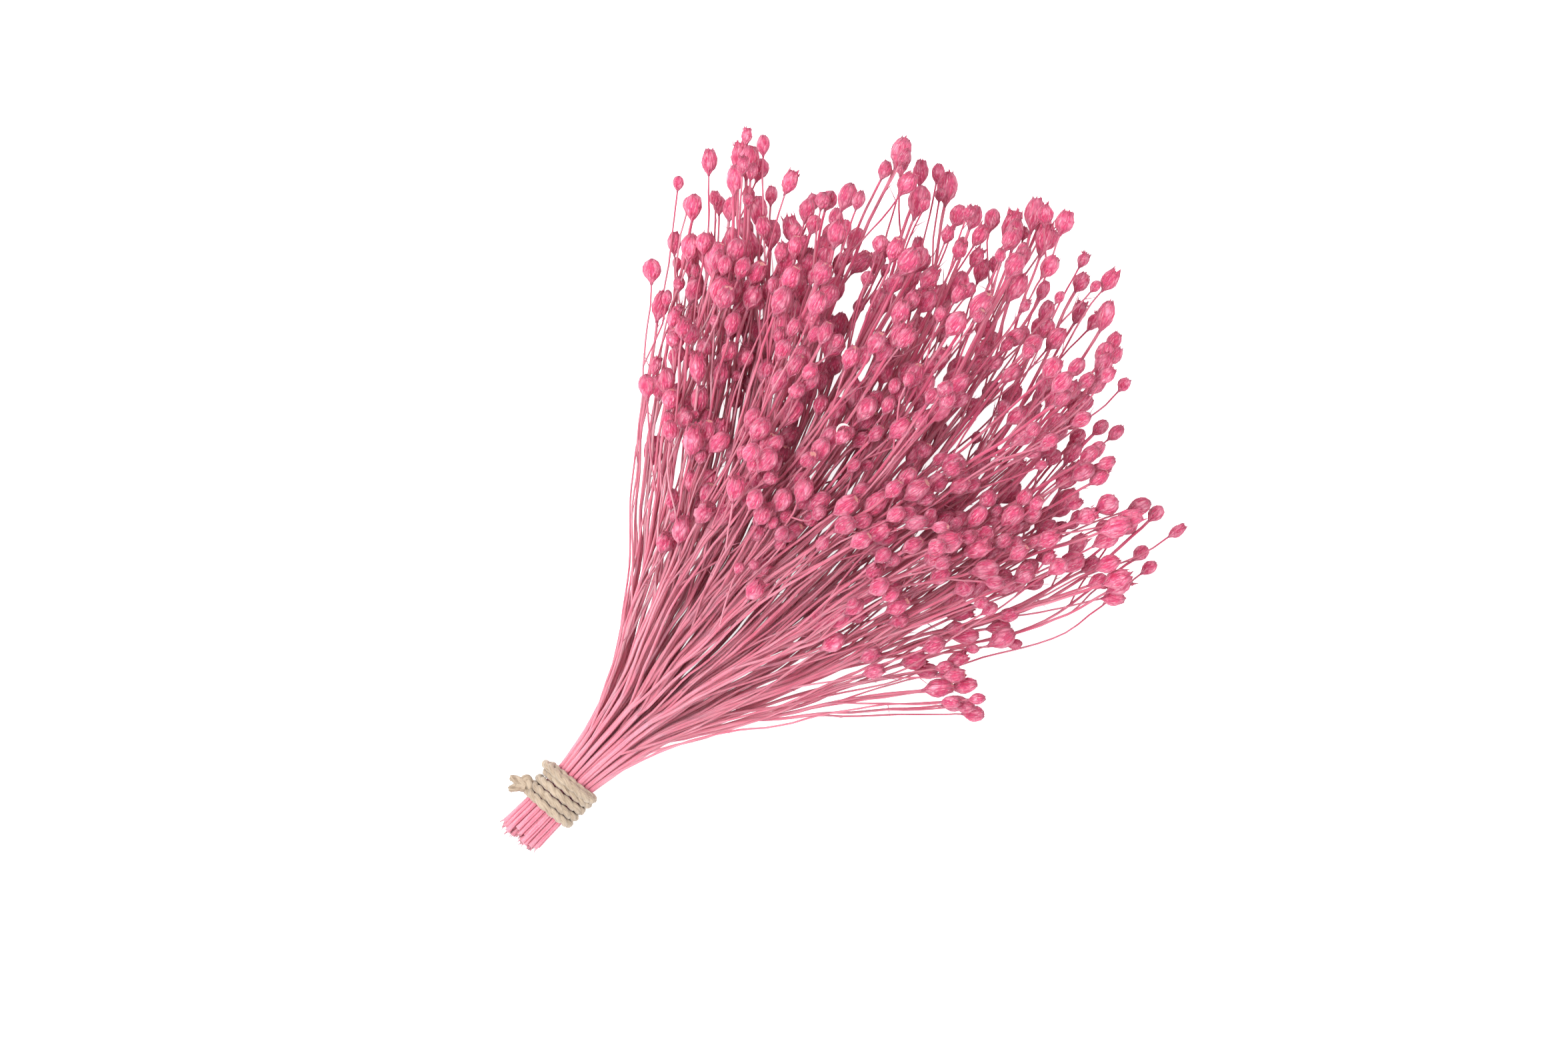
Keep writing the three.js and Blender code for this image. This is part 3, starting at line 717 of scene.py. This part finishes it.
inputs = add_node(sprig_tree, "NodeGroupInput").outputs
split = add_node(sprig_tree, "GeometryNodeSeparateGeometry",
                 {"Geometry": inputs["Lines"], "Selection": named(sprig_tree, "is_head", "BOOLEAN")},
                 domain="POINT")
stems = swept(sprig_tree, split.outputs["Inverted"], inputs["Sides"], inputs["Bark"])
forms = add_node(sprig_tree, "GeometryNodeCollectionInfo",
                 {"Collection": inputs["Heads"], "Separate Children": True, "Reset Children": True})
turn_to = add_node(sprig_tree, "FunctionNodeEulerToRotation",
                   {0: named(sprig_tree, "facing", "FLOAT_VECTOR")})
on_stalks = add_node(sprig_tree, "GeometryNodeInstanceOnPoints",
                     {"Points": split.outputs["Selection"], "Instance": forms.outputs[0],
                      "Pick Instance": True, "Instance Index": named(sprig_tree, "form", "INT"),
                      "Rotation": turn_to.outputs[0], "Scale": named(sprig_tree, "size", "FLOAT_VECTOR")})
real_heads = add_node(sprig_tree, "GeometryNodeRealizeInstances", {"Geometry": on_stalks.outputs[0]})
scaly = add_node(sprig_tree, "GeometryNodeSetMaterial",
                 {"Geometry": real_heads.outputs[0], "Material": inputs["Scales"]})
joined = add_node(sprig_tree, "GeometryNodeJoinGeometry")
sprig_tree.links.new(scaly.outputs[0], joined.inputs[0])
sprig_tree.links.new(stems.outputs[0], joined.inputs[0])
add_node(sprig_tree, "NodeGroupOutput", {0: joined.outputs[0]})


def made_by(tree, name, mesh, **values):
    """The mesh that a Geometry Nodes tree makes from another, as a new object at the origin."""
    base = bpy.data.objects.new(name + "_base", mesh)
    bpy.context.scene.collection.objects.link(base)
    modifier = base.modifiers.new("tree", "NODES")
    modifier.node_group = tree
    sockets = {s.name: s.identifier for s in tree.interface.items_tree if s.in_out == "INPUT"}
    for key, value in values.items():
        modifier[sockets[key]] = value
    ready = base.evaluated_get(bpy.context.evaluated_depsgraph_get())
    result = bpy.data.meshes.new_from_object(ready)
    result.name = name
    base.modifiers.clear()
    bpy.data.objects.remove(base)
    piece = bpy.data.objects.new(name, result)
    bpy.context.scene.collection.objects.link(piece)
    return piece


def line_mesh(name, points, edges, **attributes):
    """Points and edges with values on the points, in metres."""
    mesh = bpy.data.meshes.new(name)
    mesh.from_pydata([tuple(p) for p in points], edges, [])
    kinds = {"float": ("FLOAT", "value"), "vector": ("FLOAT_VECTOR", "vector"), "int": ("INT", "value"),
             "bool": ("BOOLEAN", "value")}
    for key, values in attributes.items():
        values = np.array(values)
        kind = "vector" if values.ndim == 2 else {"f": "float", "i": "int", "b": "bool"}[values.dtype.kind]
        data_type, field = kinds[kind]
        mesh.attributes.new(key, data_type, "POINT").data.foreach_set(field, values.ravel())
    return mesh


LOWEST_HEAD = 0.66  # of a head's width: how high its middle lies where its crown's tips meet the table
PRESSED, PRESSED_TO = 0.2, 60  # how much thicker a stem is in the twine, and how far past it that lasts
CUT_SHADE, SPLINTER_SHADE, TWIG_SHADE = -0.35, -0.1, 0.9
SPLINTERS, SPLINTER_D = 2, 0.38  # at each cut end
SPURS_MOST, SPUR_D = 2, 0.26  # bare broken twigs on a stalk
SPURS_RISE_BELOW = 9
PETAL_AT, PETAL_LONG, PETAL_D = (107, 15), 4.2, 0.62  # a dry curled petal, caught on the high head near here

petal_bearer = max(all_stalks, key=lambda c: c["points"][-1][2]
                   - 3 * math.dist(c["points"][-1][:2], PETAL_AT))


def sprig_lines(i):
    """The lines of one sprig's stalks, and a point for each head."""
    points, edges, rows = [], [], []

    def add(p, **row):
        plain = {"radius": 0.0, "run": 0.0, "shade": 0.0, "tone": 0.0, "form": 0, "is_head": False,
                 "facing": (0.0, 0.0, 0.0), "size": (1.0, 1.0, 1.0)}
        points.append(p * MM)
        rows.append({**plain, **row})

    def spike(at, way, long, thick, shade):
        """A thin broken twig or splinter that stands off a stem."""
        for part in (0, 0.5, 1):
            if part:
                edges.append((len(points) - 1, len(points)))
            radius = thick / 2 * (1 - 0.75 * part) * MM
            add(at + way * long * part, radius=radius, run=long * part, shade=shade)

    dye = 0.25 + 0.5 * smoothstep(turned(spots[i], REACH)[0], -0.2, 1)  # the +Y side took less of it
    for n, c in enumerate(c for c in all_stalks if c["sprig"] == i):
        draw = np.random.default_rng(1000 * i + n)
        last = len(c["points"]) - 1
        spans = np.linalg.norm(np.diff(c["points"], axis=0), axis=1)
        params = []
        for j in range(last - 1):
            parts = max(1, int(round(spans[j] / STEM_SAMPLE)))
            params += [j + m / parts for m in range(parts)]
        params.append(last - 1)
        if c["parent"] is None:
            params.insert(1, 0.02)
        line = [wander(smooth_at(c, t)) for t in params]
        tip = wander(c["points"][last])
        for p in (line[-1], tip):
            p[2] = max(p[2], LOWEST_HEAD * HEAD_D * c["size"])
        tone = 0.45 * dye + 0.65 * draw.uniform()
        run = 0
        for k, (t, p) in enumerate(zip(params, line)):
            if k:
                run += np.linalg.norm(line[k] - line[k - 1])
                edges.append((len(points) - 1, len(points)))
            radius = np.interp(t, range(last + 1), c["radii"]) * draw.uniform(0.94, 1.08)
            radius *= 1 + PRESSED * (1 - smoothstep(p[0] - shift[0], tie_half, tie_half + PRESSED_TO))
            is_cut = c["parent"] is None and k == 0
            shade = CUT_SHADE if is_cut else min(1, max(0, (p[0] - shift[0]) / REACH))
            add(p, radius=radius * MM, run=run + 40 * n, tone=tone, shade=shade)
        if c["parent"] is None:
            for _ in range(SPLINTERS):
                angle = draw.uniform(0, 6.28)
                rim = np.array([0, math.cos(angle), math.sin(angle)]) * STEM_D * 0.36
                way = np.array([-1, *draw.uniform(-0.5, 0.5, 2)])
                spike(line[0] + rim + (0.4, 0, 0), way, draw.uniform(0.5, 1.9), SPLINTER_D, SPLINTER_SHADE)
        if c is petal_bearer:
            for k in range(8):
                angle = 0.35 * k
                curl = np.array([math.cos(angle), math.sin(angle), 0.25 * math.sin(angle)]) * PETAL_LONG / 2.6
                if k:
                    edges.append((len(points) - 1, len(points)))
                add(tip + (-1, 0.5, HEAD_D * 0.35) + curl, shade=-1.0, run=k,
                    radius=PETAL_D / 2 * math.sin(0.3 + k * 0.37) * MM)
        for _ in range(int(draw.integers(0, SPURS_MOST + 1))):
            k = int(draw.integers(len(line) // 3, len(line) - 1))
            ahead = (line[k + 1] - line[k]) / np.linalg.norm(line[k + 1] - line[k])
            way = ahead + draw.normal(size=3) * 0.45
            way[2] = abs(way[2]) if line[k][2] < SPURS_RISE_BELOW else way[2]
            spike(line[k], way / np.linalg.norm(way), draw.uniform(1.5, 6), SPUR_D, TWIG_SHADE)
        base = line[-1]
        width = HEAD_D * c["size"] * draw.uniform(0.88, 1.04)
        length = np.linalg.norm(tip - base) * draw.uniform(0.95, 1.1)
        aimed = Vector(tip - base).to_track_quat("Z", "Y").to_matrix().to_4x4()
        turn = aimed @ Matrix.Rotation(draw.uniform(0, 6.28), 4, "Z")
        form = BUD if c["size"] < LARGEST_BUD else int(draw.choice(len(FORM_SHARES), p=FORM_SHARES))
        add(base, is_head=True, form=form, facing=tuple(turn.to_euler()),
            size=(width * MM, width * MM, length * MM), tone=0.5 * dye + 0.6 * draw.uniform())
    columns = {key: [row[key] for row in rows] for key in rows[0]}
    return line_mesh(f"sprig_{i + 1:02d}_lines", points, edges, **columns)


for i in range(SPRIGS):
    name = f"sprig_{i + 1:02d}"
    sprig = made_by(sprig_tree, name + "_dried", sprig_lines(i), Sides=STEM_SIDES, Heads=heads,
                    Bark=stem_bark, Scales=felted_scales)
    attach(sprig, "root")
    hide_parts(name)


# ---------------------------------------------------------------------------------------------
# Twine: natural jute, two plies twisted together, wound side by side up the stems and tied off in
# a small hard knot, with short cut tails. Loose fibres stand off it.
# ---------------------------------------------------------------------------------------------
PLY_LAY = 5.2  # length of twine in which a ply goes once round
PLY_D = 1.5
PLY_OUT = 0.21  # from the twine's middle to a ply's, as a share of its diameter
JUTE_SIDES = 8
TWINE_SAMPLE = 0.28  # between the rings of a ply
KNOT_POINTS, KNOT_SIZE = 22, 0.46
OVER_RISE = 1.45  # of the last turn over the others
TAILS = ((-1.2, 3.6, 1.4), (-3.4, 1.9, 1.2))  # where each tail ends, from the knot
FIBRES, FIBRE_D = 90, 0.07
FIBRES_ON = (0.5, 0.14, 0.14, 0.11, 0.11)  # the wrap, the last turn, the knot and the two tails

jute, tree, shader = new_material("jute_twine")
skin = add_node(tree, "ShaderNodeAttribute", attribute_name="skin").outputs["Vector"]
# The fibres of a ply lie along it. They are drawn 0.17 mm wide, coarser than real jute, so they show.
drawn_out = add_node(tree, "ShaderNodeMapping", {0: skin, "Scale": (3.2, 3.2, 0.55)})
strands = add_node(tree, "ShaderNodeTexNoise", {"Vector": drawn_out.outputs[0], "Scale": 1.4, "Detail": 5.0})
uneven = add_node(tree, "ShaderNodeMapping", {0: skin, "Scale": (0.5, 0.5, 0.3)})
stain = add_node(tree, "ShaderNodeTexNoise", {"Vector": uneven.outputs[0], "Scale": 1.0, "Detail": 2.0})
straw = add_node(tree, "ShaderNodeValToRGB", {0: strands.outputs[0]})
straw.color_ramp.elements[0].color = linear("#7E6A57")
straw.color_ramp.elements[0].position = 0.3
straw.color_ramp.elements[1].color = linear("#B8A48E")
straw.color_ramp.elements[1].position = 0.6
faded = add_node(tree, "ShaderNodeMapRange", {0: stain.outputs[0], 1: 0.4, 2: 0.7, 3: 0.0, 4: 0.5})
sunned = add_node(tree, "ShaderNodeMix",
                  {"Factor": faded.outputs[0], 6: straw.outputs[0], 7: linear("#C8B7A2")}, data_type="RGBA")
tree.links.new(sunned.outputs[2], shader.inputs["Base Color"])
relief = add_node(tree, "ShaderNodeBump", {"Height": strands.outputs[0], "Strength": 0.7, "Distance": 0.0003})
tree.links.new(relief.outputs[0], shader.inputs["Normal"])
shader.inputs["Roughness"].default_value = 0.85
shader.inputs["Sheen Weight"].default_value = 0.3

twine_tree = bpy.data.node_groups.new("plied_twine", "GeometryNodeTree")
for name, kind in (("Lines", "NodeSocketGeometry"), ("Sides", "NodeSocketInt"),
                   ("Jute", "NodeSocketMaterial")):
    twine_tree.interface.new_socket(name, in_out="INPUT", socket_type=kind)
twine_tree.interface.new_socket("Twine", in_out="OUTPUT", socket_type="NodeSocketGeometry")
inputs = add_node(twine_tree, "NodeGroupInput").outputs
plies = swept(twine_tree, inputs["Lines"], inputs["Sides"], inputs["Jute"])
real = add_node(twine_tree, "GeometryNodeRealizeInstances", {"Geometry": plies.outputs[0]})
add_node(twine_tree, "NodeGroupOutput", {0: real.outputs[0]})


def rounded(points, step):
    """A smooth line through points, in even steps."""
    p = np.array(points, float)
    ends = np.vstack([2 * p[0] - p[1], p, 2 * p[-1] - p[-2]])
    out = []
    for j in range(1, len(p)):
        out += [curved(*ends[j - 1 : j + 3], f) for f in np.linspace(0, 1, 12, endpoint=False)]
    out = np.array([*out, p[-1]])
    run = np.concatenate([[0], np.cumsum(np.linalg.norm(np.diff(out, axis=0), axis=1))])
    even = np.linspace(0, run[-1], max(2, int(run[-1] / step)))
    return np.stack([np.interp(even, run, out[:, k]) for k in range(3)], 1)


def on_wrap(turn, r, x):
    """A point at an angle round the bundle, a radius from its axis, and a place along it."""
    return np.array([x, r * math.cos(turn), tie_z + r * math.sin(turn)])


draw = np.random.default_rng(7)
wrap = []
for k in range(int(TURNS * 16) + 1):
    turn = 2 * math.pi * k / 16
    lean = 0.35 * math.sin(turn - 0.6) + 0.12 * math.sin(turn * 0.37 + 1)
    uneven_r = wrap_r - 0.2 + 0.08 * math.sin(turn * 0.61)
    wound_to = -tie_half + TWINE_D / 2 + pitch * turn / (2 * math.pi) + lean * (0.4 + 0.6 * k / 80)
    wrap.append(on_wrap(turn, uneven_r, wound_to))
knot_at = on_wrap(0.2, wrap_r + 1.3, -tie_half + TWINE_D * 0.95)
knot = []  # a trefoil
for k in range(KNOT_POINTS):
    t = 2 * math.pi * k / KNOT_POINTS
    knot.append(knot_at + KNOT_SIZE * np.array([math.sin(t) + 2 * math.sin(2 * t),
                                                1.1 * (math.cos(t) - 2 * math.cos(2 * t)),
                                                -1.3 * math.sin(3 * t)]))
over = []  # the last turn is led back over the others before it is tied
for k in range(9):
    raised = wrap_r + OVER_RISE * math.sin(math.pi * k / 8) ** 0.5
    over.append(on_wrap(2.9 - 0.43 * k, raised, tie_half - TWINE_D / 2 - 0.1 - 0.28 * k))
runs = [wrap, over, knot]
for end in TAILS:
    end = np.array(end)
    runs.append([knot_at, knot_at + end * 0.45 + (0, 0, 0.4), knot_at + end])

points, edges, radii, along_run = [], [], [], []
spine = []
for line in runs:
    line = rounded(line, TWINE_SAMPLE)
    spine.append(line)
    ahead = np.gradient(line, axis=0)
    ahead /= np.linalg.norm(ahead, axis=1)[:, None]
    side = np.cross(ahead[0], (0.3, 0.2, 1.0))
    sides = []
    for a in ahead:
        side = side - a * (side @ a)
        side /= np.linalg.norm(side)
        sides.append(side)
    for ply in range(2):
        run = 0
        for k, p in enumerate(line):
            if k:
                run += np.linalg.norm(line[k] - line[k - 1])
                edges.append((len(points) - 1, len(points)))
            angle = 2 * math.pi * run / PLY_LAY + math.pi * ply
            out = sides[k] * math.cos(angle) + np.cross(ahead[k], sides[k]) * math.sin(angle)
            points.append((p + out * (PLY_D * PLY_OUT) + shift) * MM)
            radii.append(PLY_D / 2 * draw.uniform(0.95, 1.06) * MM)
            along_run.append(run + 300 * ply)
for _ in range(FIBRES):
    line = spine[int(draw.choice(len(FIBRES_ON), p=FIBRES_ON))]
    k = int(draw.integers(1, len(line) - 1))
    root = line[k]
    away = np.array(draw.normal(size=3))
    if line is spine[0] or line is spine[1]:  # on the wrap they stand outwards
        away = 1.6 * np.array([0, root[1], root[2] - tie_z]) / wrap_r + away * 0.8
    away /= np.linalg.norm(away)
    curl = np.array(draw.normal(size=3)) * 0.5
    long = draw.uniform(1.3, 3.2)
    for m in range(5):
        part = m / 4
        if m:
            edges.append((len(points) - 1, len(points)))
        p = root + away * (0.7 + long * part) + curl * part * part * long * 0.5
        p[2] = max(p[2], 0.1)
        points.append((p + shift) * MM)
        radii.append(FIBRE_D / 2 * (1.1 - 0.8 * part) * MM)
        along_run.append(5 * part)
lines = line_mesh("twine_lines", points, edges, radius=np.array(radii), run=np.array(along_run))
twine = made_by(twine_tree, "twine_jute", lines, Sides=JUTE_SIDES, Jute=jute)
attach(twine, "root")
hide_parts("twine")
